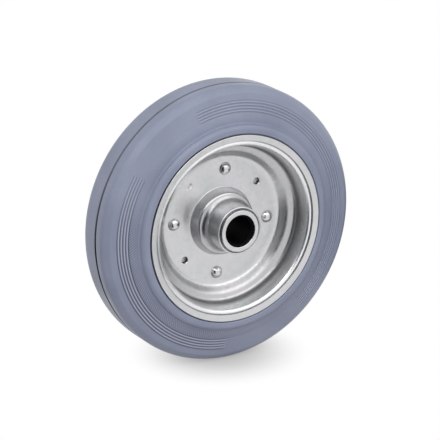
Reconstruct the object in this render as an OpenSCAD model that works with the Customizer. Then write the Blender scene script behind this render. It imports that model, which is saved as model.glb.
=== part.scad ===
// Industrial wheel: solid rubber tyre on a riveted pressed steel rim, with a plain bush in a hub tube.
// Millimetres. The origin is the wheel's centre and the axle runs along Y; the front is the -Y side.
// Each section is drawn as [radius, distance from the centre plane] and turned about the axle.

/* [Wheel] */
// Diameter over the tread
wheel_d = 200; // [196:1:220]
// Width of the tyre over its beads
tyre_w = 50; // [48:0.5:56]
// Length of the hub tube, end face to end face
hub_len = 60; // [56:1:72]

/* [Hub] */
// Bore of the bush, for the axle
bore_d = 20; // [16:0.5:21]
// Outer diameter of the hub tube
tube_d = 30; // [28:0.5:34]
// Wall of the bush; the tube takes what is left between it and the tube's outer diameter
bush_wall = 1.7; // [1:0.1:2.2]
// How far each end of the bush lies inside the tube
bush_recess = 2; // [0.5:0.5:8]
// Chamfer on the edges of the tube's and the bush's ends
end_chamfer = 0.5; // [0.2:0.1:0.8]

/* [Rim pressing] */
// Thickness of the sheet
sheet_t = 3; // [2:0.1:3.5]
// How far the tube stands out of the neck's mouth
tube_proud = 1.5; // [0.5:0.1:3]
// Wall of the drawn neck at its mouth
neck_mouth_t = 2.2; // [2.1:0.1:2.6]
// Wall of the drawn neck at its foot
neck_foot_t = 2.6; // [2.3:0.1:3]
// Distance from the web's face up to the foot of the neck
neck_foot_rise = 9.2; // [8:0.1:12]
// Width of the boss's top around the neck
boss_top_w = 4.8; // [4.7:0.1:7]
// Fall of the boss's top from the neck to its edge
boss_top_fall = 1.5; // [1.1:0.1:2.5]
// Slant of the boss's side wall, measured along the radius
boss_draft = 2.2; // [1:0.1:4]
// Flat web from the foot of the boss to the foot of the bowl
web_w = 22.4; // [21:0.1:26]
// Slanted step at the foot of the bowl, along the radius
step_w = 4.5; // [3.5:0.1:6]
// Height of that step above the web's face
step_rise = 5.8; // [4.5:0.1:7]
// Soft shelf above the step, along the radius
shelf_w = 6; // [6:0.1:8]
// Rise of the shelf
shelf_rise = 1.7; // [0.5:0.1:2.5]
// Slant of the bowl's wall from the shelf to the lip, along the radius
bowl_w = 2.7; // [1.5:0.1:5]
// Flange from the lip to its outer edge, along the radius
flange_w = 7.5; // [6.5:0.1:9]
// Rise of the flange from the lip to its outer edge
flange_rise = 1.6; // [0.5:0.1:2.5]
// Height of the flange's edge above the top of the tyre's bead
flange_proud = 0.2; // [0:0.1:1]

/* [Rim details] */
// Bend radii on the open side: neck foot, boss edge, boss foot, web edge, step, shelf, lip
bend_r = [3, 4, 0.8, 4.5, 4, 3, 2];
// Gap between the tube and the flared mouth of the neck
mouth_gap = 1.2; // [0.6:0.1:1.2]
// Depth of that gap
mouth_depth = 2.4; // [1:0.1:5]
// Rounding of the neck's outer edge at its mouth
mouth_edge_r = 0.6; // [0.2:0.1:0.6]
// Distance of the crease in the flange from the lip
crease_at = 3.1; // [3:0.1:4]
// Width of the ramp that runs down into the crease
crease_w = 1.4; // [0.8:0.1:1.5]
// Depth of the crease
crease_d = 1; // [0.3:0.1:1.2]
// Diameter of the two open holes in the web
web_hole_d = 4.8; // [3:0.1:7]
// Diameter of the pressed dimple in the web
dimple_d = 3.4; // [2:0.1:5]
// Depth of the dimple
dimple_depth = 0.5; // [0.2:0.1:0.8]

/* [Rivets] */
// Number of rivets
rivet_count = 4; // [3:1:6]
// Pitch circle diameter of rivets, holes and dimple
rivet_pcd = 76; // [74:0.5:78]
// Shank diameter
rivet_d = 5; // [4:0.5:6]
// Head diameter
rivet_head_d = 9.2; // [7:0.1:10]
// Head height
rivet_head_h = 3.2; // [2:0.1:3.6]
// Angle of the two web holes from the X axis, seen from the front
hole_angle = 39.8; // [0:0.1:90]

/* [Tyre] */
// Gap between the flange's edge and the tyre's bead
bead_gap = 0.8; // [0.2:0.1:1.2]
// Width of the raised bead
bead_w = 6.2; // [5.5:0.1:8]
// Rounding of the bead's outer edge
bead_edge_r = 2; // [1:0.1:3]
// Height of the bead above the foot of the sidewall
bead_rise = 4; // [3:0.1:5]
// Distance from the bead's top down to the ridge where sidewall and shoulder meet
ridge_drop = 8.7; // [7:0.1:9.5]
// Distance of that ridge below the tread
ridge_in = 4.5; // [4:0.1:6]
// Rounding of the ridge
ridge_r = 2.5; // [1:0.5:3]
// Distance from the bead's top down to the meeting of shoulder and tread
shoulder_drop = 13; // [12:0.1:15]
// Rounding where the shoulder meets the tread
shoulder_r = 6; // [3:0.5:6]
// Distance of the groove round the tread from the centre plane, towards the front
groove_at = 3.8; // [0:0.1:5]
// Width of that groove below its broken edges
groove_w = 1.2; // [0.8:0.1:3]
// Depth of that groove
groove_d = 2.3; // [1:0.1:4]

/* [Sidewall ribs] */
// Number of ribs
rib_count = 4; // [1:1:5]
// Distance between ribs
rib_pitch = 2; // [1.6:0.1:2.4]
// Distance of the outermost rib below the tread
rib_drop = 10.4; // [10:0.1:12]
// Width of a rib at its root
rib_w = 1; // [0.6:0.1:1.4]
// Height of a rib
rib_rise = 0.45; // [0.2:0.05:0.8]
// Angle of the middle of the first bare panel, seen from the front
panel_angle = 127.5; // [90:0.5:160]
// Angle that this panel takes
panel_span = 39; // [10:1:50]
// Angle of the middle of the second bare panel
low_panel_angle = 288; // [230:0.5:330]
// Angle that the second panel takes
low_panel_span = 44; // [10:1:50]

/* [Hidden] */
$fn = 96;
// Largest turn between two points of a rounded corner, in degrees
arc_step = 9;
// Smallest radius left inside a bend
tight_bend = 0.6;
// Small roundings: cut edges of the sheet, edges of the rubber
sheet_edge_r = 0.4;
rubber_edge_r = 0.4;
// How far a cut or a rib runs past the face that it meets
overrun = 0.5;

tread_r = wheel_d / 2;
bead_h = tyre_w / 2;
tube_r = tube_d / 2;
tube_bore_r = bore_d / 2 + bush_wall;
hub_h = hub_len / 2;
mouth_h = hub_h - tube_proud;
rivet_r = rivet_pcd / 2;

// Corners of the pressing on its open side, from the neck's mouth out to the flange's edge
neck_mouth = [tube_r + neck_mouth_t, mouth_h];
neck_foot = [tube_r + neck_foot_t, sheet_t + neck_foot_rise];
boss_edge = neck_foot + [boss_top_w, -boss_top_fall];
boss_foot = [boss_edge.x + boss_draft, sheet_t];
web_edge = boss_foot + [web_w, 0];
step_top = web_edge + [step_w, step_rise];
shelf_end = step_top + [shelf_w, shelf_rise];
flange_edge = [shelf_end.x + bowl_w + flange_w, bead_h + flange_proud];
lip = flange_edge - [flange_w, flange_rise];
open_side = [neck_mouth, neck_foot, boss_edge, boss_foot, web_edge, step_top, shelf_end, lip, flange_edge];
last = len(open_side) - 1;

// Corners on the covered side: the tube's seat, then every edge moved in by the sheet's thickness
tube_seat = [[tube_r, mouth_h], [tube_r, 0]];
covered_edges = [tube_seat, for (i = [1:last - 1]) moved(open_side[i], open_side[i + 1], sheet_t)];
covered_bends = [for (i = [1:last - 1]) meet(covered_edges[i - 1], covered_edges[i])];
flange_seat = covered_edges[last - 1];
covered_side = concat(covered_bends, [meet(flange_seat, [flange_edge, flange_edge + [0, 1]])]);
covered_r = [
    bend_r[0] + neck_foot_t,
    for (i = [2:last - 1]) inner_radius(open_side[i - 1], open_side[i], open_side[i + 1], bend_r[i - 1])
];

// Corners of half the tyre, from the shoulder out, round the bead and down into the rim's channel
bead_in_r = flange_edge.x + bead_gap;
bead_out_r = bead_in_r + bead_w;
sidewall_foot = [bead_out_r, bead_h - bead_rise];
ridge = [tread_r - ridge_in, bead_h - ridge_drop];
shelf_seat = covered_edges[last - 3];
tyre_bore_r = (shelf_seat[0].x + shelf_seat[1].x) / 2 - shelf_w / 4;
tyre_corners = [
    [tread_r, overrun],
    [tread_r, bead_h - shoulder_drop],
    ridge,
    sidewall_foot,
    [bead_out_r, bead_h],
    [bead_in_r, bead_h],
    meet([[bead_in_r, 0], [bead_in_r, bead_h]], flange_seat),
    covered_bends[last - 2],
    covered_bends[last - 3],
    meet([[tyre_bore_r, 0], [tyre_bore_r, bead_h]], shelf_seat)
];
tyre_r = [
    0, shoulder_r, ridge_r, rubber_edge_r, bead_edge_r, 2 * rubber_edge_r, rubber_edge_r,
    covered_r[last - 2], covered_r[last - 3], 0
];

// Unit vector along v
function unit(v) = v / norm(v);

// Edge from a to b, moved to its right by t
function moved(a, b, t) = let (d = unit(b - a), side = [d.y, -d.x] * t) [a + side, b + side];

// Point where the lines through two edges meet
function meet(e, f) =
    let (d = e[1] - e[0], g = f[1] - f[0])
    e[0] + d * cross(f[0] - e[0], g) / cross(d, g);

// Radius on the covered side of a bend that has radius r on the open side
function inner_radius(a, p, b, r) =
    cross(p - a, b - p) > 0 ? r + sheet_t : max(r - sheet_t, tight_bend);

// Points of the arc that rounds corner p between a and b
function bend(a, p, b, r) =
    r <= 0 ? [p] :
    let (
        u = unit(a - p),
        v = unit(b - p),
        half = acos(u * v) / 2,
        centre = p + unit(u + v) * r / sin(half),
        start = p + u * r / tan(half) - centre,
        from = atan2(start.y, start.x),
        turn = (180 - 2 * half) * sign(cross(p - a, b - p)),
        n = max(1, ceil(abs(turn) / arc_step))
    )
    [for (i = [0:n]) centre + r * [cos(from + turn * i / n), sin(from + turn * i / n)]];

// Closed outline with each corner rounded by its own radius
function rounded(corners, radii) =
    let (n = len(corners))
    [for (i = [0:n - 1]) each bend(corners[(i + n - 1) % n], corners[i], corners[(i + 1) % n], radii[i])];

// Path with its corners rounded and its two ends left as they are
function rounded_path(corners, radii) =
    let (n = len(corners))
    [
        corners[0],
        for (i = [1:n - 2]) each bend(corners[i - 1], corners[i], corners[i + 1], radii[i]),
        corners[n - 1]
    ];

// A list in reverse order
function reversed(list) = [for (i = [len(list) - 1:-1:0]) list[i]];

// Half section followed by its mirror image across the centre plane
function both_halves(half) = concat(half, [for (p = reversed(half)) [p.x, -p.y]]);

// Turns a section about the axle
module turned(section, span = 360) {
    rotate_extrude(angle = span) polygon(section);
}

// Lays what is drawn along Z onto the axle, with its +Z end at the front
module on_axle() {
    rotate([90, 0, 0]) children();
}

// Copies its child at each place of a ring of n, starting at an angle
module ring(n, start = 0) {
    for (i = [0:n - 1]) rotate([0, 0, start + i * 360 / n]) children();
}

// Section of the pressed sheet
module sheet_section() {
    mouth = [
        [tube_r + mouth_gap, mouth_h],
        [tube_r + mouth_gap, mouth_h - mouth_depth + mouth_gap],
        [tube_r, mouth_h - mouth_depth]
    ];
    corners = concat(open_side, reversed(covered_side), reversed(mouth));
    radii = concat(
        [mouth_edge_r], bend_r, [sheet_edge_r, sheet_edge_r], reversed(covered_r), [0, 0, sheet_edge_r / 2]
    );
    difference() {
        polygon(rounded(corners, radii));
        translate(lip) rotate(atan2(flange_rise, flange_w)) polygon([
            [crease_at - crease_w, 0],
            [crease_at, -crease_d],
            [crease_at, crease_d],
            [crease_at - crease_w, crease_d]
        ]);
    }
}

// One pressed half of the rim, with its open side towards +Z
module rim_half() {
    dimple_r = (pow(dimple_d / 2, 2) + pow(dimple_depth, 2)) / (2 * dimple_depth);
    difference() {
        rotate_extrude() sheet_section();
        ring(rivet_count, hole_angle + 45)
            translate([rivet_r, 0, -overrun]) cylinder(d = rivet_d, h = sheet_t + 2 * overrun);
        ring(2, hole_angle)
            translate([rivet_r, 0, -overrun]) cylinder(d = web_hole_d, h = sheet_t + 2 * overrun);
        rotate([0, 0, hole_angle + 90])
            translate([rivet_r, 0, sheet_t + dimple_r - dimple_depth]) sphere(r = dimple_r);
    }
}

// Rounded rivet head of the given size, standing on the plane z = 0
module rivet_head() {
    head_r = rivet_head_d / 2;
    ball_r = (pow(head_r, 2) + pow(rivet_head_h, 2)) / (2 * rivet_head_h);
    intersection() {
        translate([0, 0, rivet_head_h - ball_r]) sphere(r = ball_r);
        cylinder(r = head_r + overrun, h = rivet_head_h + overrun);
    }
}

// Rivet along Z through both webs, with a head on each
module rivet() {
    translate([0, 0, -sheet_t]) cylinder(d = rivet_d, h = 2 * sheet_t);
    for (side = [0, 1]) mirror([0, 0, side]) translate([0, 0, sheet_t]) rivet_head();
}

// Concentric ribs on the front sidewall, broken by the two bare panels
module sidewall_ribs() {
    slope = (ridge.y - sidewall_foot.y) / (ridge.x - sidewall_foot.x);
    panel_ends = [panel_angle + panel_span / 2, low_panel_angle + low_panel_span / 2];
    panel_starts = [low_panel_angle - low_panel_span / 2, panel_angle - panel_span / 2 + 360];
    for (i = [0:rib_count - 1]) {
        r = tread_r - rib_drop - i * rib_pitch;
        h = sidewall_foot.y + (r - sidewall_foot.x) * slope;
        section = [
            [r - rib_w / 2, h - overrun],
            [r + rib_w / 2, h - overrun],
            [r + rib_w / 2, h],
            [r + rib_w / 4, h + rib_rise],
            [r - rib_w / 4, h + rib_rise],
            [r - rib_w / 2, h]
        ];
        for (k = [0, 1]) rotate([0, 0, panel_ends[k]]) turned(section, panel_starts[k] - panel_ends[k]);
    }
}

// Ring cut out of the tread to leave the groove, with broken edges
module groove_cut() {
    half = [
        [tread_r - groove_d, groove_w / 4],
        [tread_r - rubber_edge_r, groove_w / 2],
        [tread_r + overrun, groove_w / 2 + rubber_edge_r + overrun]
    ];
    translate([0, 0, groove_at]) turned(both_halves(half));
}

module tyre() {
    color("#8b90a3") on_axle() {
        difference() {
            turned(both_halves(rounded_path(tyre_corners, tyre_r)));
            groove_cut();
        }
        for (side = [0, 1]) mirror([0, 0, side]) sidewall_ribs();
    }
}

module rim_front() {
    color("#c8cbc8") on_axle() rim_half();
}

// The same pressing, turned over about the line through two rivets, so each web covers the other's holes
module rim_back() {
    color("#bfc3c1") on_axle() rotate(180, [cos(hole_angle + 45), sin(hole_angle + 45), 0]) rim_half();
}

module hub_tube() {
    half = [
        [tube_bore_r, hub_h - end_chamfer],
        [tube_bore_r + end_chamfer, hub_h],
        [tube_r - end_chamfer, hub_h],
        [tube_r, hub_h - end_chamfer]
    ];
    color("#d3d5d2") on_axle() turned(both_halves(half));
}

module bush() {
    bush_h = hub_h - bush_recess;
    half = [
        [bore_d / 2, bush_h - end_chamfer],
        [bore_d / 2 + end_chamfer, bush_h],
        [tube_bore_r, bush_h]
    ];
    color("#151515") on_axle() turned(both_halves(half));
}

module rivets() {
    color("#dcdcdc") on_axle() ring(rivet_count, hole_angle + 45) translate([rivet_r, 0, 0]) rivet();
}

tyre();
rim_front();
rim_back();
hub_tube();
bush();
rivets();
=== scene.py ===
"""Looks of the industrial wheel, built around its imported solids. Sizes are in mm unless said otherwise."""

import math
from functools import partial

import bmesh
import bpy
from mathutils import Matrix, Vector, noise

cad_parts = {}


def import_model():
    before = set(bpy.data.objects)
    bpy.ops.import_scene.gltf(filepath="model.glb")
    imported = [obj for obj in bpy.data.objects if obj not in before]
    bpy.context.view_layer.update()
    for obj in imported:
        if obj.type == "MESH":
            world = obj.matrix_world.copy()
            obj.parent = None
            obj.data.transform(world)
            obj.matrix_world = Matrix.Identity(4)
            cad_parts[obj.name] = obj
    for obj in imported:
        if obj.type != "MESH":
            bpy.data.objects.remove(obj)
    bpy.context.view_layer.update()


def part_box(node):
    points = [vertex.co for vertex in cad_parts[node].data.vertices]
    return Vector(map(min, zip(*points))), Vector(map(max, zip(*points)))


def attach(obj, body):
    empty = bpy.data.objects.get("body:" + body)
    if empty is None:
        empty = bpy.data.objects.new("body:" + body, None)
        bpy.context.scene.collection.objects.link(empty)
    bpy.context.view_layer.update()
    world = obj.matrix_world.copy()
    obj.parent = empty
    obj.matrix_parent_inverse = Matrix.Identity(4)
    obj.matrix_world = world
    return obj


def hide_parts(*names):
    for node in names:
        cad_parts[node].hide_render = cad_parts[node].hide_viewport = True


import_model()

MM = 0.001


def node_size(node):
    """Largest radius about the axle and largest distance from the centre plane of one solid."""
    low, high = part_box(node)
    return high.z / MM, max(high.y, -low.y) / MM


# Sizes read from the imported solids
tread_r, bead_h = node_size("tyre")
mouth_h = node_size("rim_front")[1]
tube_r, hub_h = node_size("hub_tube")
tube_bore_r, bush_h = node_size("bush")

# Pressing. A section is a list of (radius, distance from the centre plane).
SHEET_T = 3
NECK_MOUTH_T, NECK_FOOT_T = 2.2, 2.6
NECK_FOOT_RISE = 9.2
BOSS_TOP_W, BOSS_TOP_FALL = 4.8, 1.5
BOSS_DRAFT = 2.2
WEB_W = 22.4
STEP_W, STEP_RISE = 4.5, 5.8
SHELF_W, SHELF_RISE = 6, 1.7
BOWL_W = 2.7
FLANGE_W, FLANGE_RISE, FLANGE_PROUD = 7.5, 1.6, 0.2
SHEET_EDGE_R = 0.4

# Bends of the solids from the neck's foot to the lip. The covered side follows them, down to the tight one.
BEND_R = [3, 4, 0.8, 4.5, 4, 3, 2]
TIGHT_BEND = 0.6

# The open side is softer, as the photograph shows it: bends from the neck's foot to the end of the shelf,
# a settled step, and a wall that bows between the shelf and the lip
OPEN_BEND_R = [5, 2.4, *BEND_R[2:4], 7, 4]
STEP_SETTLE = (0.3, -0.5)
WALL_BOW, WALL_BOW_R, LIP_R = (0.5, 7.1), 20, 2.8

# Mouth of the neck, flared away from the tube's end. Its last corners run from the tube to the flare's top.
MOUTH_GAP, MOUTH_DEPTH, MOUTH_EDGE_R = 1.2, 2.4, 0.6
MOUTH_LAST_R = [0, 0.2, 0.2]

# Crease in the flange, with the rounding of its start, its bottom and the top of its steep wall
CREASE_AT, CREASE_W, CREASE_D = 3.1, 1.4, 1
CREASE_R = [0.3, 0.12, 0.3]

# Faint waviness of the flat web: random, and in rings
WEB_TOLERANCE = 0.01
WEB_WAVE, WEB_WAVE_LENGTH, WEB_WAVE_SEED = 0.06, 16, 7
WEB_RING, WEB_RING_R, WEB_RING_PITCH = 0.05, 31, 9

# Holes and rivets. HOLE_ANGLE is in degrees, and a hole's cutter reaches past both sides of the sheet.
PITCH_R = 38
HOLE_ANGLE = 39.8
HOLE_R, HOLE_EDGE = 2.4, 0.3
CUT_BELOW, CUT_ABOVE = 1, 2
DIMPLE_R, DIMPLE_DEPTH = 1.7, 0.5
RIVET_COUNT = 4
RIVET_R = 2.5
RIVET_HEAD_R, RIVET_HEAD_H, RIVET_UNDERCUT = 4.6, 3.2, 0.12

# Tube and bush
BORE_R = 10
END_CHAMFER = 0.5
BUSH_EDGE_R = 0.1

# Tyre. The groove's radii run from one of its edges over the bottom to the other.
BEAD_GAP, BEAD_W, BEAD_EDGE_R, BEAD_RISE, BEAD_FOOT_R = 0.8, 6.2, 3.4, 4, 0.7
RIDGE_DROP, RIDGE_IN, RIDGE_R = 8.7, 4.5, 2.5
SHOULDER_DROP, SHOULDER_R = 13, 6
GROOVE_AT, GROOVE_W, GROOVE_D = 3.8, 1.2, 2.3
GROOVE_R = [0.4, 0.2, 0.2, 0.4]
RUBBER_EDGE_R = 0.4
RIB_COUNT, RIB_PITCH, RIB_DROP, RIB_W, RIB_RISE = 4, 2, 10.4, 1, 0.45
RIB_FLANK = 0.3 * RIB_W
KNURL_IN_R, KNURL_OUT_R, KNURL_COUNT, KNURL_SLANT = 75.8, 82.7, 270, 0.7
KNURL_RISE, KNURL_VALLEY, KNURL_SINK, KNURL_ROOT, KNURL_END_W = 0.3, 0.03, 0.05, 0.6, 0.4

# Bare panels of the sidewall: middle and span in degrees, and the degrees over which the ribs fade
PANELS = ((127.5, 39), (288, 44))
PANEL_FADE = 1.2

# Fineness of the meshes. ARC_STEP and SHARP_ANGLE are in degrees.
ARC_STEP = 6
LONGEST_STEP = 2.5
RIM_TURNS = 216
TYRE_TURNS = 240
RIB_STEP = 0.2
HOLE_SIDES = 40
DIMPLE_SIDES = 64
RIVET_SIDES, RIVET_HEAD_STEPS = 48, 16
SHARP_ANGLE = 40

# The photograph's camera, found by fitting the wheel's circles to it: angles in degrees, distance in metres
PHOTO_PX = 440
VIEW_AZIMUTH, VIEW_ELEVATION = -30.51, 18.81
VIEW_DISTANCE = 1.7
FOCAL_PX = 2416
CENTRE_PX = (218.6, 219.3)
SENSOR_MM = 36


def cross2(a, b):
    """Cross product of two plane vectors: above 0 where b points to the left of a."""
    return a.x * b.y - a.y * b.x


def moved(a, b, distance):
    """The edge from a to b, moved to its right."""
    d = (b - a).normalized()
    side = Vector((d.y, -d.x)) * distance
    return a + side, b + side


def meet(e, f):
    """The point where the lines through two edges meet."""
    d, g = e[1] - e[0], f[1] - f[0]
    return e[0] + d * (cross2(f[0] - e[0], g) / cross2(d, g))


def smooth(t):
    """Soft step from 0 to 1."""
    t = max(0, min(1, t))
    return t * t * (3 - 2 * t)


def bend(a, p, b, radius):
    """Points of the arc that rounds corner p between a and b."""
    if radius <= 0:
        return [p]
    u, v = (a - p).normalized(), (b - p).normalized()
    half = math.acos(max(-1, min(1, u.dot(v)))) / 2
    centre = p + (u + v).normalized() * (radius / math.sin(half))
    start = p + u * (radius / math.tan(half)) - centre
    first = math.atan2(start.y, start.x)
    turn = math.copysign(math.pi - 2 * half, cross2(p - a, b - p))
    steps = max(2, math.ceil(abs(math.degrees(turn)) / ARC_STEP))
    angles = [first + turn * i / steps for i in range(steps + 1)]
    return [centre + Vector((math.cos(t), math.sin(t))) * radius for t in angles]


def rounded(corners, radii):
    """A closed outline with each corner rounded by its own radius."""
    n = len(corners)
    points = []
    for i in range(n):
        points += bend(corners[i - 1], corners[i], corners[(i + 1) % n], radii[i])
    return points


def edges_of(points):
    """Pairs of neighbours round a closed outline."""
    return zip(points, points[1:] + points[:1])


def edge_points(a, b):
    """Points from a up to, but without, b, no further apart than the longest step."""
    steps = max(1, math.ceil((b - a).length / LONGEST_STEP))
    return [a.lerp(b, i / steps) for i in range(steps)]


def stepped(points):
    """The same closed outline with its long straight edges cut into short ones."""
    return [p for a, b in edges_of(points) for p in edge_points(a, b)]


def mirrored(half):
    """The same points on the other side of the centre plane, in reverse order."""
    return [Vector((p.x, -p.y)) for p in reversed(half)]


def on_axle(radius, height, angle):
    """A point in the row frame: the axle is Y, the front is -Y, and the angle turns from X to Z."""
    return Vector((radius * math.cos(angle), -height, radius * math.sin(angle))) * MM


def across_axle(angle):
    """Direction at right angles to the axle."""
    return Vector((math.cos(angle), 0, math.sin(angle)))


def turn_angles(count):
    """Angles of a full turn cut into equal steps."""
    return [2 * math.pi * k / count for k in range(count)]


def add_object(name, data):
    """A new object in the scene, made from a mesh, a lamp or a camera."""
    obj = bpy.data.objects.new(name, data)
    bpy.context.scene.collection.objects.link(obj)
    return obj


def mesh_from(name, bm):
    """A mesh made from a bmesh, which is used up."""
    mesh = bpy.data.meshes.new(name)
    bm.to_mesh(mesh)
    bm.free()
    return mesh


def shade(mesh):
    """Smooth shading that keeps the sharp edges."""
    mesh.shade_smooth()
    mesh.set_sharp_from_angle(angle=math.radians(SHARP_ANGLE))


def piece(name, bm, materials, node_name):
    """A finished object from a bmesh, riding on the wheel in place of its solid."""
    bmesh.ops.recalc_face_normals(bm, faces=bm.faces)
    mesh = mesh_from(name, bm)
    shade(mesh)
    for material in materials:
        mesh.materials.append(material)
    obj = add_object(name, mesh)
    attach(obj, "root")
    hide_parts(node_name)
    return obj


def bridge(bm, a, b, closed=True):
    """Faces between two rows of points, where closed rows also join their last point to their first."""
    n = len(a)
    for i in range(n if closed else n - 1):
        k = (i + 1) % n
        bm.faces.new((a[i], a[k], b[k], b[i]))


def lathe(bm, outline, turns, place=on_axle):
    """Turns a closed outline about the axle. place gives the point for an outline point and an angle."""
    rings = [[bm.verts.new(place(*p, angle)) for p in outline] for angle in turn_angles(turns)]
    for a, b in edges_of(rings):
        bridge(bm, a, b)


# Sections

def rim_corners():
    """Corners of the pressing on its open and covered sides, radii of the covered bends, covered edges."""
    neck_mouth = Vector((tube_r + NECK_MOUTH_T, mouth_h))
    neck_foot = Vector((tube_r + NECK_FOOT_T, SHEET_T + NECK_FOOT_RISE))
    boss_edge = neck_foot + Vector((BOSS_TOP_W, -BOSS_TOP_FALL))
    boss_foot = Vector((boss_edge.x + BOSS_DRAFT, SHEET_T))
    web_edge = boss_foot + Vector((WEB_W, 0))
    step_top = web_edge + Vector((STEP_W, STEP_RISE))
    shelf_end = step_top + Vector((SHELF_W, SHELF_RISE))
    flange_edge = Vector((shelf_end.x + BOWL_W + FLANGE_W, bead_h + FLANGE_PROUD))
    lip = flange_edge - Vector((FLANGE_W, FLANGE_RISE))
    open_side = [neck_mouth, neck_foot, boss_edge, boss_foot, web_edge]
    open_side += [step_top, shelf_end, lip, flange_edge]
    last = len(open_side) - 1
    edges = [(Vector((tube_r, mouth_h)), Vector((tube_r, 0)))]
    edges += [moved(open_side[i], open_side[i + 1], SHEET_T) for i in range(1, last)]
    covered = [meet(edges[i], edges[i + 1]) for i in range(last - 1)]
    covered.append(meet(edges[-1], (flange_edge, flange_edge + Vector((0, 1)))))
    radii = [BEND_R[0] + NECK_FOOT_T]
    for i in range(2, last):
        left = cross2(open_side[i] - open_side[i - 1], open_side[i + 1] - open_side[i]) > 0
        radii.append(BEND_R[i - 1] + SHEET_T if left else max(BEND_R[i - 1] - SHEET_T, TIGHT_BEND))
    return open_side, covered, radii, edges


def flange_line():
    """The lip, and the direction from it along the flange to the edge."""
    lip, flange_edge = rim_corners()[0][-2:]
    return lip, (flange_edge - lip).normalized()


def rim_section():
    """Closed section of one pressing, with its creased flange and the flared mouth of its neck."""
    open_side, covered, radii, _ = rim_corners()
    step_top, shelf_end = open_side[-4:-2]
    lip, along = flange_line()
    inward = Vector((along.y, -along.x))
    crease = [
        lip + along * (CREASE_AT - CREASE_W),
        lip + along * CREASE_AT + inward * CREASE_D,
        lip + along * CREASE_AT,
    ]
    gap_r = tube_r + MOUTH_GAP
    gap_h = mouth_h - MOUTH_DEPTH
    mouth = [Vector((tube_r, gap_h)), Vector((gap_r, gap_h + MOUTH_GAP)), Vector((gap_r, mouth_h))]
    corners = open_side[:-4] + [step_top + Vector(STEP_SETTLE), shelf_end, shelf_end + Vector(WALL_BOW)]
    corners += [lip, *crease, open_side[-1]] + covered[::-1] + mouth
    rounds = [MOUTH_EDGE_R, *OPEN_BEND_R, WALL_BOW_R, LIP_R, *CREASE_R]
    rounds += [SHEET_EDGE_R, SHEET_EDGE_R] + radii[::-1] + MOUTH_LAST_R
    return stepped(rounded(corners, rounds))


# Pressings

def cut(obj, cutter):
    """Takes the cutter's shape out of obj, and removes the cutter."""
    modifier = obj.modifiers.new("cut", "BOOLEAN")
    modifier.operation = "DIFFERENCE"
    modifier.solver = "EXACT"
    modifier.object = cutter
    bpy.context.view_layer.update()
    evaluated = obj.evaluated_get(bpy.context.evaluated_depsgraph_get())
    mesh = bpy.data.meshes.new_from_object(evaluated)
    obj.modifiers.clear()
    obj.data = mesh
    bpy.data.objects.remove(cutter)


def hole_angles(side):
    """Angles of the two open holes and of the dimple, which swap where the pressing is turned over."""
    first, dimple = HOLE_ANGLE, HOLE_ANGLE + 90
    if side < 0:
        first, dimple = dimple, first
    return [math.radians(first), math.radians(first + 180)], math.radians(dimple)


def web_cutter(side):
    """Open holes with a chamfered edge, and the pressed dimple, for the pressing on that side."""
    bm = bmesh.new()
    profile = [
        (-CUT_BELOW, HOLE_R),
        (SHEET_T - HOLE_EDGE, HOLE_R),
        (SHEET_T, HOLE_R + HOLE_EDGE),
        (SHEET_T + CUT_ABOVE, HOLE_R + HOLE_EDGE),
    ]
    holes, dimple_angle = hole_angles(side)
    for angle in holes:
        rings = []
        for h, r in profile:
            centre = on_axle(PITCH_R, side * h, angle)
            rings.append([bm.verts.new(centre + across_axle(t) * r * MM) for t in turn_angles(HOLE_SIDES)])
        for a, b in zip(rings, rings[1:]):
            bridge(bm, a, b)
        bm.faces.new(rings[0])
        bm.faces.new(rings[-1])
    ball_r = (DIMPLE_R ** 2 + DIMPLE_DEPTH ** 2) / (2 * DIMPLE_DEPTH)
    centre = on_axle(PITCH_R, side * (SHEET_T + ball_r - DIMPLE_DEPTH), dimple_angle)
    ball = bmesh.ops.create_uvsphere(
        bm,
        u_segments=DIMPLE_SIDES,
        v_segments=DIMPLE_SIDES,
        radius=ball_r * MM,
    )
    bmesh.ops.translate(bm, verts=ball["verts"], vec=centre)
    bmesh.ops.recalc_face_normals(bm, faces=bm.faces)
    return add_object("cutter", mesh_from("cutter", bm))


def web_point(side, radius, height, angle):
    """A point of the pressing, with the faint waviness that pressing leaves in its flat web."""
    if abs(height - SHEET_T) < WEB_TOLERANCE:
        flat = Vector((radius * math.cos(angle), radius * math.sin(angle), WEB_WAVE_SEED * side))
        height += WEB_WAVE * noise.noise(flat / WEB_WAVE_LENGTH)
        height += WEB_RING * math.cos(2 * math.pi * (radius - WEB_RING_R) / WEB_RING_PITCH)
    return on_axle(radius, side * height, angle)


# Material slots of a pressing, after its plating in slot 0
HOLE_WALL, CREASE_WALL = 1, 2

# How near the crease's radius a face of its wall lies, and how squarely it looks at the axle
CREASE_NEAR, CREASE_FACING = 0.45, 0.8

# A hole's wall looks less along the axle than this, its chamfer more
HOLE_WALL_FACING = 0.6


def mark_dark_faces(mesh, side):
    """Gives their own dark materials, which paint shade, to the punched walls of the open holes and to the
    crease's steep wall.
    """
    lip, along = flange_line()
    crease_r = (lip + along * CREASE_AT).x
    for face in mesh.polygons:
        out = Vector((face.center.x, 0, face.center.z))
        near = abs(out.length / MM - crease_r) < CREASE_NEAR
        on_flange = abs(face.center.y) / MM > lip.y - CREASE_D
        if near and on_flange and face.normal.dot(out.normalized()) < -CREASE_FACING:
            face.material_index = CREASE_WALL
    reach = (HOLE_R + HOLE_EDGE / 2) * MM
    for angle in hole_angles(side)[0]:
        centre = on_axle(PITCH_R, 0, angle)
        for face in mesh.polygons:
            away = face.center - centre
            if math.hypot(away.x, away.z) < reach and abs(face.normal.y) < HOLE_WALL_FACING:
                face.material_index = HOLE_WALL


def rim_half(name, side, materials):
    """One pressing: side 1 is the front, -1 the back."""
    bm = bmesh.new()
    lathe(bm, rim_section(), RIM_TURNS, partial(web_point, side))
    obj = piece(name + "_pressing", bm, materials, name)
    cut(obj, web_cutter(side))
    mark_dark_faces(obj.data, side)
    shade(obj.data)


# Hub

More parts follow.
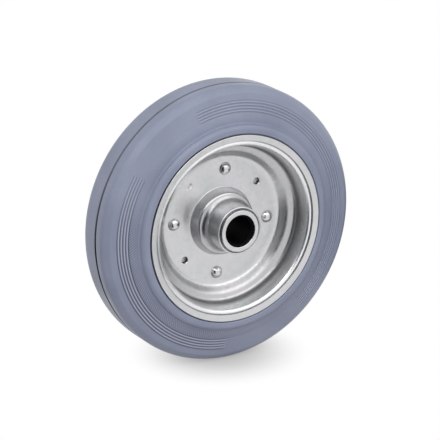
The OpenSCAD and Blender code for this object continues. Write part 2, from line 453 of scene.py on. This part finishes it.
def hub_tube(material):
    """Tube through both necks, with rounded edges at its ends."""
    half = [Vector((tube_r, hub_h)), Vector((tube_bore_r, hub_h))]
    section = rounded(half + mirrored(half), [END_CHAMFER] * 4)
    bm = bmesh.new()
    lathe(bm, stepped(section), RIM_TURNS)
    piece("hub_tube_turned", bm, [material], "hub_tube")


def bush(material):
    """Plain bush in the tube, with the edges of its bore well rounded."""
    half = [Vector((tube_bore_r, bush_h)), Vector((BORE_R, bush_h))]
    section = rounded(half + mirrored(half), [BUSH_EDGE_R, END_CHAMFER, END_CHAMFER, BUSH_EDGE_R])
    bm = bmesh.new()
    lathe(bm, stepped(section), RIM_TURNS)
    piece("bush_moulded", bm, [material], "bush")


# Rivets

def rivet_outline():
    """Half section of a rivet about its own axis, from under one pole to under the other."""
    ball_r = (RIVET_HEAD_R ** 2 + RIVET_HEAD_H ** 2) / (2 * RIVET_HEAD_H)
    ball_h = SHEET_T + RIVET_HEAD_H - ball_r
    reach = math.asin(RIVET_HEAD_R / ball_r)
    half = []
    for i in range(1, RIVET_HEAD_STEPS + 1):
        t = reach * i / RIVET_HEAD_STEPS
        half.append(Vector((ball_r * math.sin(t), ball_h + ball_r * math.cos(t))))
    half += [
        Vector((RIVET_HEAD_R - RIVET_UNDERCUT, SHEET_T)),
        Vector((RIVET_R, SHEET_T)),
        Vector((RIVET_R, 0)),
    ]
    return half + mirrored(half[:-1])


def rivets(material):
    """All the rivets, midway between the holes, with a head on each side."""
    bm = bmesh.new()
    outline = rivet_outline()
    top = (SHEET_T + RIVET_HEAD_H) * MM
    for i in range(RIVET_COUNT):
        centre = on_axle(PITCH_R, 0, math.radians(HOLE_ANGLE + 45 + 360 * i / RIVET_COUNT))
        rings = []
        for t in turn_angles(RIVET_SIDES):
            points = [centre + (across_axle(t) * p.x + Vector((0, -p.y, 0))) * MM for p in outline]
            rings.append([bm.verts.new(p) for p in points])
        front, back = [bm.verts.new(centre + Vector((0, sign * top, 0))) for sign in (-1, 1)]
        for a, b in edges_of(rings):
            bridge(bm, a, b, closed=False)
            bm.faces.new((front, a[0], b[0]))
            bm.faces.new((back, b[-1], a[-1]))
    piece("rivet_set", bm, [material], "rivets")


# Tyre

def sidewall_line():
    """Ends of the straight sidewall before rounding: its ridge and its foot."""
    foot_r = rim_corners()[0][-1].x + BEAD_GAP + BEAD_W
    return Vector((tread_r - RIDGE_IN, bead_h - RIDGE_DROP)), Vector((foot_r, bead_h - BEAD_RISE))


def sidewall_height(radius):
    """Distance of the plain sidewall from the centre plane at a radius."""
    ridge, foot = sidewall_line()
    return foot.y + (radius - foot.x) * (ridge.y - foot.y) / (ridge.x - foot.x)


def tyre_corners():
    """Closed corners and radii of the tyre, with the tread's groove last."""
    open_side, covered, radii, edges = rim_corners()
    flange_seat, shelf_seat = edges[-1], edges[-3]
    bead_in_r = open_side[-1].x + BEAD_GAP
    ridge, foot = sidewall_line()
    inner_r = (shelf_seat[0].x + shelf_seat[1].x) / 2 - SHELF_W / 4
    half = [
        Vector((tread_r, bead_h - SHOULDER_DROP)),
        ridge,
        foot,
        Vector((foot.x, bead_h)),
        Vector((bead_in_r, bead_h)),
        meet((Vector((bead_in_r, 0)), Vector((bead_in_r, bead_h))), flange_seat),
        covered[-2],
        covered[-3],
        meet((Vector((inner_r, 0)), Vector((inner_r, bead_h))), shelf_seat),
    ]
    rounds = [SHOULDER_R, RIDGE_R, BEAD_FOOT_R, BEAD_EDGE_R, 2 * RUBBER_EDGE_R, RUBBER_EDGE_R]
    rounds += [radii[-1], radii[-2], 0]
    edge, bottom = GROOVE_W / 2 + RUBBER_EDGE_R, GROOVE_W / 4
    groove = [
        Vector((tread_r, GROOVE_AT - edge)),
        Vector((tread_r - GROOVE_D, GROOVE_AT - bottom)),
        Vector((tread_r - GROOVE_D, GROOVE_AT + bottom)),
        Vector((tread_r, GROOVE_AT + edge)),
    ]
    return half + mirrored(half) + groove, rounds + rounds[::-1] + GROOVE_R


def rib_lift(radius):
    """Height of the ribs above the plain sidewall at a radius."""
    for i in range(RIB_COUNT):
        inside = RIB_W / 2 - abs(radius - (tread_r - RIB_DROP - i * RIB_PITCH))
        if inside > 0:
            return RIB_RISE * smooth(inside / RIB_FLANK)
    return 0


def rib_share(angle):
    """1 where the ribs stand, 0 in the two bare panels."""
    share = 1
    for centre, span in PANELS:
        away = abs((math.degrees(angle) - centre + 180) % 360 - 180)
        share *= smooth((away - span / 2) / PANEL_FADE + 0.5)
    return share


def tyre_outline():
    """Points of the tyre's closed section, each with the height that a rib adds there."""
    outer = tread_r - RIB_DROP + RIB_W
    inner = outer - RIB_PITCH * RIB_COUNT - RIB_W
    fine_steps = math.ceil((outer - inner) / RIB_STEP)
    out = []
    for a, b in edges_of(rounded(*tyre_corners())):
        if min(a.x, b.x) < inner and max(a.x, b.x) > outer:
            shares = {(outer - k * RIB_STEP - a.x) / (b.x - a.x) for k in range(fine_steps + 1)}
            points = [a.lerp(b, t) for t in sorted(shares | {0.0}) if 0 <= t < 1]
        else:
            points = edge_points(a, b)
        out += [(*p, rib_lift(p.x)) for p in points]
    return out


def tyre_point(radius, height, lift, angle):
    """A point of the tyre, with a rib's height added to its distance from the centre plane."""
    return on_axle(radius, height + math.copysign(lift, height) * rib_share(angle), angle)


def knurl(bm, side):
    """Closed ring of fine slanted teeth on one sidewall, let into the rubber under it."""
    rings = []
    for j, turn in enumerate(turn_angles(2 * KNURL_COUNT)):
        rise = KNURL_RISE if j % 2 else KNURL_VALLEY
        profile = [
            (KNURL_IN_R, -KNURL_SINK),
            (KNURL_IN_R + KNURL_END_W, rise),
            (KNURL_OUT_R - KNURL_END_W, rise),
            (KNURL_OUT_R, -KNURL_SINK),
            (KNURL_OUT_R, -KNURL_ROOT),
            (KNURL_IN_R, -KNURL_ROOT),
        ]
        ring = []
        for radius, lift in profile:
            angle = turn + KNURL_SLANT * (radius - KNURL_IN_R) / KNURL_IN_R
            ring.append(bm.verts.new(on_axle(radius, side * (sidewall_height(radius) + lift), angle)))
        rings.append(ring)
    for a, b in edges_of(rings):
        bridge(bm, a, b)


def tyre(material):
    """The solid tyre, with its ribs, its knurled bands and the groove in its tread."""
    bm = bmesh.new()
    lathe(bm, tyre_outline(), TYRE_TURNS, tyre_point)
    for side in (1, -1):
        knurl(bm, side)
    piece("tyre_moulded", bm, [material], "tyre")


# Shader nodes

def add(tree, kind, inputs=None, **settings):
    """A new shader node. An input that is a socket is linked, any other is set."""
    made = tree.nodes.new("ShaderNode" + kind)
    for key, value in settings.items():
        setattr(made, key, value)
    for key, value in (inputs or {}).items():
        if isinstance(value, bpy.types.NodeSocket):
            tree.links.new(value, made.inputs[key])
        else:
            made.inputs[key].default_value = value
    return made


def new_material(name, metallic=0.0, specular=0.5):
    """A material with its node tree and its shader, which has no colour or roughness of its own yet."""
    material = bpy.data.materials.new(name)
    material.use_nodes = True
    tree = material.node_tree
    shader = tree.nodes["Principled BSDF"]
    shader.inputs["Metallic"].default_value = metallic
    shader.inputs["Specular IOR Level"].default_value = specular
    return material, tree, shader


def finish_surface(tree, shader, colour, roughness, normal):
    """Links the three sockets that vary over a surface."""
    tree.links.new(colour, shader.inputs["Base Color"])
    tree.links.new(roughness, shader.inputs["Roughness"])
    tree.links.new(normal, shader.inputs["Normal"])


def maths(tree, operation, *values):
    """Result of a Math node."""
    return add(tree, "Math", dict(enumerate(values)), operation=operation).outputs[0]


def place_mm(tree):
    """The point on the piece in mm."""
    where = add(tree, "TexCoord").outputs["Object"]
    return add(tree, "VectorMath", {0: where, "Scale": 1 / MM}, operation="SCALE").outputs[0]


def flat_length(tree, parts, first, second):
    """Length of two of a point's three coordinates together."""
    flat = add(tree, "CombineXYZ", {first: parts[first], second: parts[second]}).outputs[0]
    return add(tree, "VectorMath", {0: flat}, operation="LENGTH").outputs["Value"]


def polar(tree, place):
    """Radius about the axle, angle about it, and distance along it, for a point in mm."""
    parts = add(tree, "SeparateXYZ", {0: place}).outputs
    return flat_length(tree, parts, "X", "Z"), maths(tree, "ARCTAN2", parts["Z"], parts["X"]), parts["Y"]


def angle_between(tree, angle, centre, half_turn):
    """How far an angle lies from a centre, either way round. half_turn is 180 for degrees, or pi."""
    away = maths(tree, "WRAP", maths(tree, "SUBTRACT", angle, centre), half_turn, -half_turn)
    return maths(tree, "ABSOLUTE", away)


def mottle(tree, place, per_mm, detail, seed, roughness=0.5):
    """Noise between about 0.3 and 0.7, with its cells 1 / per_mm wide."""
    inputs = {"Vector": place, "W": seed, "Scale": per_mm, "Detail": detail, "Roughness": roughness}
    return add(tree, "TexNoise", inputs, noise_dimensions="4D").outputs["Fac"]


def ramp(tree, value, span, to, kind="LINEAR"):
    """Runs from to[0] to to[1] as the value goes through the span, and stays there outside it."""
    inputs = {"Value": value, "From Min": span[0], "From Max": span[1], "To Min": to[0], "To Max": to[1]}
    return add(tree, "MapRange", inputs, interpolation_type=kind, clamp=True).outputs[0]


def between(tree, value, low, high):
    """1 where low < value < high, else 0."""
    above = maths(tree, "GREATER_THAN", value, low)
    return maths(tree, "MULTIPLY", above, maths(tree, "LESS_THAN", value, high))


def mix_value(tree, share, a, b):
    """Number that runs from a to b as the share goes from 0 to 1."""
    return add(tree, "Mix", {0: share, 2: a, 3: b}).outputs[0]


def mix_colour(tree, share, a, b, blend="MIX"):
    """Colour that runs from a to b, or to their blend, as the share goes from 0 to 1."""
    inputs = {0: share, 6: a, 7: b}
    return add(tree, "Mix", inputs, data_type="RGBA", blend_type=blend).outputs[2]


def bump(tree, height, depth, strength=1.0, normal=None):
    """Normal of a surface that a height between 0 and 1 raises by up to a depth."""
    inputs = {"Height": height, "Distance": depth * MM, "Strength": strength}
    if normal is not None:
        inputs["Normal"] = normal
    return add(tree, "Bump", inputs).outputs[0]


def rgb(red, green, blue):
    """An opaque colour."""
    return (red, green, blue, 1.0)


# Spans of a noise: nearly all of it, or its middle for a stronger contrast
WIDE, NARROW = (0.3, 0.7), (0.35, 0.65)

# Spans of a share
FULL, FALLING = (0, 1), (1, 0)


# Rubber

RUBBER_COLOURS = rgb(0.242, 0.27, 0.374), rgb(0.286, 0.317, 0.428)
RUBBER_SPECK, SPECK_SHARE = rgb(0.19, 0.205, 0.27), 0.28
RIB_TOP_HIGHLIGHT_COLOUR = rgb(0.44, 0.47, 0.59)
VALLEY_SHADE_COLOUR = rgb(0.07, 0.077, 0.11)
GROOVE_SHADE_COLOUR = rgb(0.02, 0.021, 0.026)
RUBBER_ROUGHNESS = (0.42, 0.34)

# Painted shade is strongest round one angle, in degrees, and thins out between two distances from it, in
# radians
SHADED_ANGLE, SHADED_SPAN = 215, (0.6, 1.2)

# Shares of the painted shade and of the painted highlight on the rib tops: near the shaded angle, and far
# from it.
# The spans are of the waves that ribs and teeth make, from -1 to 1.
RIB_SHADE, RIB_HIGHLIGHT, RIB_FAR_SHARE = 0.9, 1, 0.4
RIB_VALLEY, RIB_TOP = (-0.1, -0.8), (0.2, 0.9)
KNURL_SHADE, KNURL_FAR_SHARE, KNURL_BOTTOM = 0.55, 0.11, (0, 0.8)
GROOVE_FAR_SHARE = 0.35

# How far the ribs' painted shade reaches past the outer ribs, how far the knurl's keeps from its ends, and
# between which distances from the groove's middle its painted shade fades
RIB_MARGIN, KNURL_SHADE_IN, GROOVE_SPREAD = 0.75 * RIB_PITCH, 0.2, (1.0, 1.3)


def shaded_side_share(tree, angle):
    """How strong the painted shade and highlight are at an angle: strongest on one side."""
    away = angle_between(tree, angle, math.radians(SHADED_ANGLE), math.pi)
    return ramp(tree, away, SHADED_SPAN, FALLING)


def rib_shade_and_highlight(tree, radius, angle):
    """Shares of the painted shade between the sidewall's ribs and of the painted highlight on their tops,
    without the panels.
    """
    outer = tread_r - RIB_DROP
    inner = outer - (RIB_COUNT - 1) * RIB_PITCH
    wave = maths(tree, "MULTIPLY", maths(tree, "SUBTRACT", radius, outer), 2 * math.pi / RIB_PITCH)
    crest = maths(tree, "COSINE", wave)
    ribbed = between(tree, radius, inner - RIB_MARGIN, outer + RIB_MARGIN)
    degrees = maths(tree, "MULTIPLY", angle, math.degrees(1))
    for centre, span in PANELS:
        outside = maths(tree, "GREATER_THAN", angle_between(tree, degrees, centre, 180), span / 2)
        ribbed = maths(tree, "MULTIPLY", ribbed, outside)
    ribbed = maths(tree, "MULTIPLY", ribbed, ramp(tree, shaded_side_share(tree, angle), FULL, (RIB_FAR_SHARE, 1)))
    valley_shade = maths(tree, "MULTIPLY", ribbed, ramp(tree, crest, RIB_VALLEY, (0, RIB_SHADE)))
    return valley_shade, maths(tree, "MULTIPLY", ribbed, ramp(tree, crest, RIB_TOP, (0, RIB_HIGHLIGHT)))


def knurl_painted_shade(tree, radius, angle):
    """Share of the painted shade between the knurl's teeth."""
    slant = maths(tree, "MULTIPLY", maths(tree, "SUBTRACT", radius, KNURL_IN_R), KNURL_SLANT / KNURL_IN_R)
    phase = maths(tree, "MULTIPLY", maths(tree, "SUBTRACT", angle, slant), KNURL_COUNT)
    band = between(tree, radius, KNURL_IN_R + KNURL_SHADE_IN, KNURL_OUT_R - KNURL_SHADE_IN)
    shaded = ramp(tree, shaded_side_share(tree, angle), FULL, (KNURL_FAR_SHARE, KNURL_SHADE))
    bottom = ramp(tree, maths(tree, "COSINE", phase), KNURL_BOTTOM, FULL)
    return maths(tree, "MULTIPLY", maths(tree, "MULTIPLY", band, shaded), bottom)


def groove_painted_shade(tree, radius, angle, height):
    """Share of the painted shade in the groove round the tread."""
    away = maths(tree, "ABSOLUTE", maths(tree, "ADD", height, GROOVE_AT))
    near = ramp(tree, away, GROOVE_SPREAD, FALLING)
    near = maths(tree, "MULTIPLY", near, ramp(tree, shaded_side_share(tree, angle), FULL, (GROOVE_FAR_SHARE, 1)))
    return maths(tree, "MULTIPLY", near, maths(tree, "GREATER_THAN", radius, tread_r - 2 * GROOVE_D))


def rubber():
    """Matt blue-grey rubber, with cloudy bloom and fine grain, a painted highlight on its rib tops, and
    painted shade between ribs and teeth and in its groove.
    """
    material, tree, shader = new_material("blue_grey_rubber")
    place = place_mm(tree)
    radius, angle, height = polar(tree, place)
    cloud = mottle(tree, place, per_mm=0.035, detail=4, seed=3)
    speck = mottle(tree, place, per_mm=1.1, detail=3, seed=8, roughness=0.7)
    grain = mottle(tree, place, per_mm=1.6, detail=4, seed=5, roughness=0.65)
    swell = mottle(tree, place, per_mm=0.09, detail=2, seed=11)
    # Painted shade between ribs, between teeth and in the groove, and a painted highlight on the rib tops
    valley_shade, top_highlight = rib_shade_and_highlight(tree, radius, angle)
    valley_shade = maths(tree, "MAXIMUM", valley_shade, knurl_painted_shade(tree, radius, angle))
    colour = mix_colour(tree, ramp(tree, cloud, NARROW, FULL), *RUBBER_COLOURS)
    colour = mix_colour(tree, ramp(tree, speck, WIDE, (0, SPECK_SHARE)), colour, RUBBER_SPECK)
    colour = mix_colour(tree, top_highlight, colour, RIB_TOP_HIGHLIGHT_COLOUR)
    colour = mix_colour(tree, valley_shade, colour, VALLEY_SHADE_COLOUR)
    colour = mix_colour(tree, groove_painted_shade(tree, radius, angle, height), colour, GROOVE_SHADE_COLOUR)
    normal = bump(tree, grain, depth=0.05, strength=0.7)
    normal = bump(tree, swell, depth=0.5, strength=0.5, normal=normal)
    finish_surface(tree, shader, colour, ramp(tree, cloud, WIDE, RUBBER_ROUGHNESS), normal)
    return material


# Zinc plating

ZINC_COLOURS = rgb(0.625, 0.64, 0.64), rgb(0.675, 0.66, 0.685)
STAIN_COLOUR, STAIN_SPAN, STAIN_SHARE = rgb(0.5, 0.535, 0.525), (0.45, 0.75), 0.3
SHEET_SHINE, TUBE_SHINE, SHINE_SPREAD = 0.3, 0.25, (-0.04, 0.08)

# The faces between the two webs, which show as the floors of the open holes. Their near-white colour is
# painted light, which makes the hole floors look lit.
COVERED_RISE, COVERED_PAINTED_LIGHT, COVERED_ROUGHNESS = 0.5, rgb(0.95, 0.95, 0.95), 0.75

# Painted shade and highlight on the plating, as brightnesses that multiply its colour: painted shade in the
# dish, in its deep corner and at the neck's foot, and a painted highlight at the lip
DISH_PAINTED_SHADE, CORNER_PAINTED_SHADE, LIP_PAINTED_HIGHLIGHT, NECK_FOOT_PAINTED_SHADE = 0.78, 0.37, 1.3, 0.7

# Where the painted shade and highlight change: radius from the lip, depth of the corner under the lip,
# distance above or below the neck's foot, and radius from the tube
DISH_FADE, WALL_FADE, FLANGE_FADE = (-13.2, -11), (-4.5, -2.7), (1.8, 2.6)
CORNER_DEPTH = 11
FOOT_FADE = (0.5, 2.5)
HUB_FADE = (7, 9)


def painted_shade_and_highlight(tree, radius, rise):
    """Painted shade on the plating in the dish and at the neck's foot, darkest in the dish's deep corner,
    and a painted highlight towards the lip.
    """
    open_side = rim_corners()[0]
    foot_rise, lip = open_side[1].y, open_side[-2]
    from_lip = maths(tree, "SUBTRACT", radius, lip.x)
    from_tube = maths(tree, "SUBTRACT", radius, tube_r)
    by_foot = maths(tree, "ABSOLUTE", maths(tree, "SUBTRACT", rise, foot_rise))
    dish = ramp(tree, from_lip, DISH_FADE, (1, DISH_PAINTED_SHADE))
    foot = ramp(tree, by_foot, FOOT_FADE, (NECK_FOOT_PAINTED_SHADE, 1))
    wall = ramp(tree, rise, (lip.y - CORNER_DEPTH, lip.y), (CORNER_PAINTED_SHADE, LIP_PAINTED_HIGHLIGHT))
    painted_tone = mix_value(tree, ramp(tree, from_tube, HUB_FADE, FALLING), dish, foot)
    painted_tone = mix_value(tree, ramp(tree, from_lip, WALL_FADE, FULL), painted_tone, wall)
    return mix_value(tree, ramp(tree, from_lip, FLANGE_FADE, FULL), painted_tone, 1.0)


def zinc(name, shine, turned):
    """Bright zinc plating on steel. turned adds the fine rings that a lathe leaves."""
    material, tree, shader = new_material(name, metallic=1.0)
    place = place_mm(tree)
    radius, _, height = polar(tree, place)
    rise = maths(tree, "ABSOLUTE", height)
    cloud = mottle(tree, place, per_mm=0.06, detail=3, seed=2)
    stain = mottle(tree, place, per_mm=0.35, detail=4, seed=9, roughness=0.6)
    fine = mottle(tree, place, per_mm=1.3, detail=3, seed=4, roughness=0.6)
    swell = mottle(tree, place, per_mm=0.11, detail=2, seed=6)
    covered = maths(tree, "LESS_THAN", rise, COVERED_RISE)
    # Painted shade and highlight, as a grey that multiplies the plating's colour
    painted_tone = painted_shade_and_highlight(tree, radius, rise)
    painted_grey = add(tree, "CombineColor", {0: painted_tone, 1: painted_tone, 2: painted_tone}).outputs[0]
    colour = mix_colour(tree, ramp(tree, cloud, NARROW, FULL), *ZINC_COLOURS)
    colour = mix_colour(tree, ramp(tree, stain, STAIN_SPAN, (0, STAIN_SHARE)), colour, STAIN_COLOUR)
    colour = mix_colour(tree, 1.0, colour, painted_grey, "MULTIPLY")
    # Painted light: near white on the covered faces, which show as the hole floors
    colour = mix_colour(tree, covered, colour, COVERED_PAINTED_LIGHT)
    roughness = ramp(tree, stain, WIDE, [shine + change for change in SHINE_SPREAD])
    roughness = maths(tree, "MAXIMUM", roughness, maths(tree, "MULTIPLY", covered, COVERED_ROUGHNESS))
    normal = bump(tree, fine, depth=0.01, strength=0.4)
    normal = bump(tree, swell, depth=0.25, strength=0.6, normal=normal)
    if turned:
        rings = add(tree, "CombineXYZ", {"X": radius, "Y": height}).outputs[0]
        turning = mottle(tree, rings, per_mm=3, detail=2, seed=1)
        normal = bump(tree, turning, depth=0.03, strength=0.6, normal=normal)
    finish_surface(tree, shader, colour, roughness, normal)
    return material


# Other materials

# Dark colours of painted shade: the walls of the open holes, bare punched steel darkened further, and the
# crease's steep wall
HOLE_STEEL_AND_SHADE_COLOURS = rgb(0.05, 0.053, 0.06), rgb(0.12, 0.12, 0.125)
CREASE_SHADE_COLOURS = rgb(0.2, 0.205, 0.215), rgb(0.34, 0.34, 0.345)
PUNCHED_ROUGHNESS = (0.4, 0.6)
POLYMER_COLOURS = rgb(0.002, 0.002, 0.003), rgb(0.006, 0.006, 0.007)
POLYMER_SPECULAR, POLYMER_ROUGHNESS = 0.03, (0.35, 0.5)
RIVET_COLOURS = rgb(0.6, 0.6, 0.6), rgb(0.7, 0.7, 0.71)
RIVET_ROUGHNESS = (0.17, 0.26)


def steel_with_painted_shade(name, colours):
    """Dull streaky dark steel that paints shade: on the walls of the open holes it is bare punched steel
    darkened further, and on the crease's steep wall it is painted shade.
    """
    material, tree, shader = new_material(name, metallic=1.0)
    streak = mottle(tree, place_mm(tree), per_mm=2, detail=3, seed=7)
    colour = mix_colour(tree, ramp(tree, streak, WIDE, FULL), *colours)
    roughness = ramp(tree, streak, WIDE, PUNCHED_ROUGHNESS)
    finish_surface(tree, shader, colour, roughness, bump(tree, streak, depth=0.08))
    return material


def black_polymer():
    """Black moulded polymer with a fine grain."""
    material, tree, shader = new_material("black_polymer", specular=POLYMER_SPECULAR)
    grain = mottle(tree, place_mm(tree), per_mm=1.4, detail=3, seed=2)
    colour = mix_colour(tree, grain, *POLYMER_COLOURS)
    roughness = ramp(tree, grain, WIDE, POLYMER_ROUGHNESS)
    finish_surface(tree, shader, colour, roughness, bump(tree, grain, depth=0.03))
    return material


def bright_rivet():
    """Polished rivet heads with the faint dents of their setting tool."""
    material, tree, shader = new_material("bright_rivet", metallic=1.0)
    dents = mottle(tree, place_mm(tree), per_mm=0.5, detail=2, seed=3)
    colour = mix_colour(tree, ramp(tree, dents, WIDE, FULL), *RIVET_COLOURS)
    roughness = ramp(tree, dents, WIDE, RIVET_ROUGHNESS)
    finish_surface(tree, shader, colour, roughness, bump(tree, dents, depth=0.12, strength=0.6))
    return material


# Stage. Its sizes and places are in metres.

# The floor shows its colour and the shadow close to the wheel, apart from a first share of white, and runs
# out into plain white between two distances. Its reach is from the centre to an edge.
FLOOR_REACH = 6.0
FLOOR_FADE, FLOOR_GLOW = (0.01, 0.068), 0.36
FLOOR_COLOUR, FLOOR_ROUGHNESS = rgb(0.42, 0.392, 0.386), 0.9

# Dark cards. Some stand in an arc at the camera's side, between two angles in degrees. Two lie just above
# the floor: the left one reaches from its two inner corners to the arc.
CARD_COLOUR = rgb(0.035, 0.047, 0.06)
CARD_ARC, CARD_STEP, CARD_ARC_R, CARD_TOP = (25, 115), 15, 0.7, 0.5
CARD_LIFT = 0.002
LEFT_CARD_START, LEFT_CARD_END = (-0.06, -0.17), (-0.16, 0.12)
RIGHT_CARD = [
    (0.14, -0.03),
    (0.2, -0.17),
    (0.33, -0.36),
    (0.6, -0.7),
    (0.9, -0.2),
    (0.9, 0.3),
    (0.2, 0.2),
]

# White of the world, as far as it lights the wheel
FILL_LEVEL = 0.55

# Soft lamps, facing the wheel's centre: place, size, power in watts, and whether reflections show them
LAMPS = {
    "key": ((0.366, -1.366, 1.414), (2.6, 1.3), 10.8, True),
    "left": ((-1.158, -0.811, 1.414), (1.2, 0.8), 6.8, True),
    "front_left": ((-1.5, -1.7, 0.0), (2.0, 1.2), 19, False),
    "front_right": ((1.0, -1.9, 0.0), (2.0, 1.2), 8, False),
}


def flat_mesh(name, corners):
    """An object with one flat face."""
    mesh = bpy.data.meshes.new(name)
    mesh.from_pydata(corners, [], [tuple(range(len(corners)))])
    return add_object(name, mesh)


def seen_share(tree):
    """1 for what the camera sees, also in a reflection or through glass, and 0 for light on the object."""
    path = add(tree, "LightPath").outputs
    share = maths(tree, "MAXIMUM", path["Is Camera Ray"], path["Is Glossy Ray"])
    return maths(tree, "MAXIMUM", share, path["Is Transmission Ray"])


def floor():
    """Pale floor that keeps the wheel's shadow close by and runs out into plain white."""
    low, far = -tread_r * MM, FLOOR_REACH
    obj = flat_mesh("floor", [(-far, -far, low), (far, -far, low), (far, far, low), (-far, far, low)])
    material, tree, shader = new_material("white_floor", specular=0.0)
    shader.inputs["Base Color"].default_value = FLOOR_COLOUR
    shader.inputs["Roughness"].default_value = FLOOR_ROUGHNESS
    white = add(tree, "Emission", {"Color": rgb(1, 1, 1), "Strength": 1.0}).outputs[0]
    parts = add(tree, "SeparateXYZ", {0: add(tree, "TexCoord").outputs["Object"]}).outputs
    away = flat_length(tree, parts, "X", "Y")
    glow = ramp(tree, away, FLOOR_FADE, (FLOOR_GLOW, 1), "SMOOTHSTEP")
    share = maths(tree, "MULTIPLY", glow, seen_share(tree))
    mixed = add(tree, "MixShader", {0: share, 1: shader.outputs[0], 2: white}).outputs[0]
    tree.links.new(mixed, tree.nodes["Material Output"].inputs["Surface"])
    obj.data.materials.append(material)


def dark_cards():
    """Dark cards round the camera's side of the set, which only reflections show, as in a studio."""
    low = -tread_r * MM + CARD_LIFT
    angles = [math.radians(a) for a in range(CARD_ARC[0], CARD_ARC[1] + 1, CARD_STEP)]
    foot = [(-CARD_ARC_R * math.sin(a), -CARD_ARC_R * math.cos(a)) for a in angles]
    left_card = [LEFT_CARD_START, *foot, LEFT_CARD_END]
    cards = [flat_mesh("flag_floor", [(x, y, low) for x, y in card]) for card in (left_card, RIGHT_CARD)]
    for a, b in zip(foot, foot[1:]):
        cards.append(flat_mesh("flag_card", [(*a, low), (*b, low), (*b, CARD_TOP), (*a, CARD_TOP)]))
    material, tree, _ = new_material("dark_card")
    glow = add(tree, "Emission", {"Color": CARD_COLOUR, "Strength": 1.0}).outputs[0]
    tree.links.new(glow, tree.nodes["Material Output"].inputs["Surface"])
    for card in cards:
        card.data.materials.append(material)
        card.visible_camera = False
        card.visible_diffuse = False
        card.visible_shadow = False
        card.visible_transmission = False
        card.visible_volume_scatter = False


def world():
    """White to the camera and in reflections, a plain soft fill to the rest."""
    made = bpy.data.worlds.new("studio")
    bpy.context.scene.world = made
    made.use_nodes = True
    tree = made.node_tree
    background = tree.nodes["Background"]
    background.inputs["Color"].default_value = rgb(1, 1, 1)
    strength = ramp(tree, seen_share(tree), FULL, (FILL_LEVEL, 1))
    tree.links.new(strength, background.inputs["Strength"])


def facing_centre(place):
    """Rotation that points a lamp or the camera at the wheel's centre."""
    return (-Vector(place)).to_track_quat("-Z", "Y").to_euler()


def lamp(name, place, size, power, in_reflections):
    """Soft rectangular lamp."""
    data = bpy.data.lights.new(name, "AREA")
    data.shape = "RECTANGLE"
    data.size, data.size_y = size
    data.energy = power
    obj = add_object(name, data)
    obj.location = place
    obj.rotation_euler = facing_centre(place)
    obj.visible_glossy = in_reflections


def camera():
    """The photograph's camera."""
    azimuth, elevation = math.radians(VIEW_AZIMUTH), math.radians(VIEW_ELEVATION)
    back = Vector((
        math.sin(azimuth) * math.cos(elevation),
        -math.cos(azimuth) * math.cos(elevation),
        math.sin(elevation),
    ))
    data = bpy.data.cameras.new("camera")
    data.sensor_width = SENSOR_MM
    data.lens = FOCAL_PX * SENSOR_MM / PHOTO_PX
    data.shift_x = (PHOTO_PX / 2 - CENTRE_PX[0]) / PHOTO_PX
    data.shift_y = (CENTRE_PX[1] - PHOTO_PX / 2) / PHOTO_PX
    obj = add_object("camera", data)
    obj.location = back * VIEW_DISTANCE
    obj.rotation_euler = facing_centre(back)
    bpy.context.scene.camera = obj


camera()
world()
floor()
dark_cards()
for lamp_name, lamp_values in LAMPS.items():
    lamp(lamp_name, *lamp_values)
bpy.context.scene.view_settings.view_transform = "Standard"

plating = zinc("zinc_sheet_plating", SHEET_SHINE, turned=False)
# Painted shade on the walls of the open holes and on the crease's steep wall
hole_walls_steel_and_shade = steel_with_painted_shade("steel_with_painted_shade", HOLE_STEEL_AND_SHADE_COLOURS)
crease_painted_shade = steel_with_painted_shade("crease_painted_shade", CREASE_SHADE_COLOURS)
tyre(rubber())
rim_half("rim_front", 1, [plating, hole_walls_steel_and_shade, crease_painted_shade])
rim_half("rim_back", -1, [plating, hole_walls_steel_and_shade, crease_painted_shade])
hub_tube(zinc("zinc_tube_plating", TUBE_SHINE, turned=True))
bush(black_polymer())
rivets(bright_rivet())
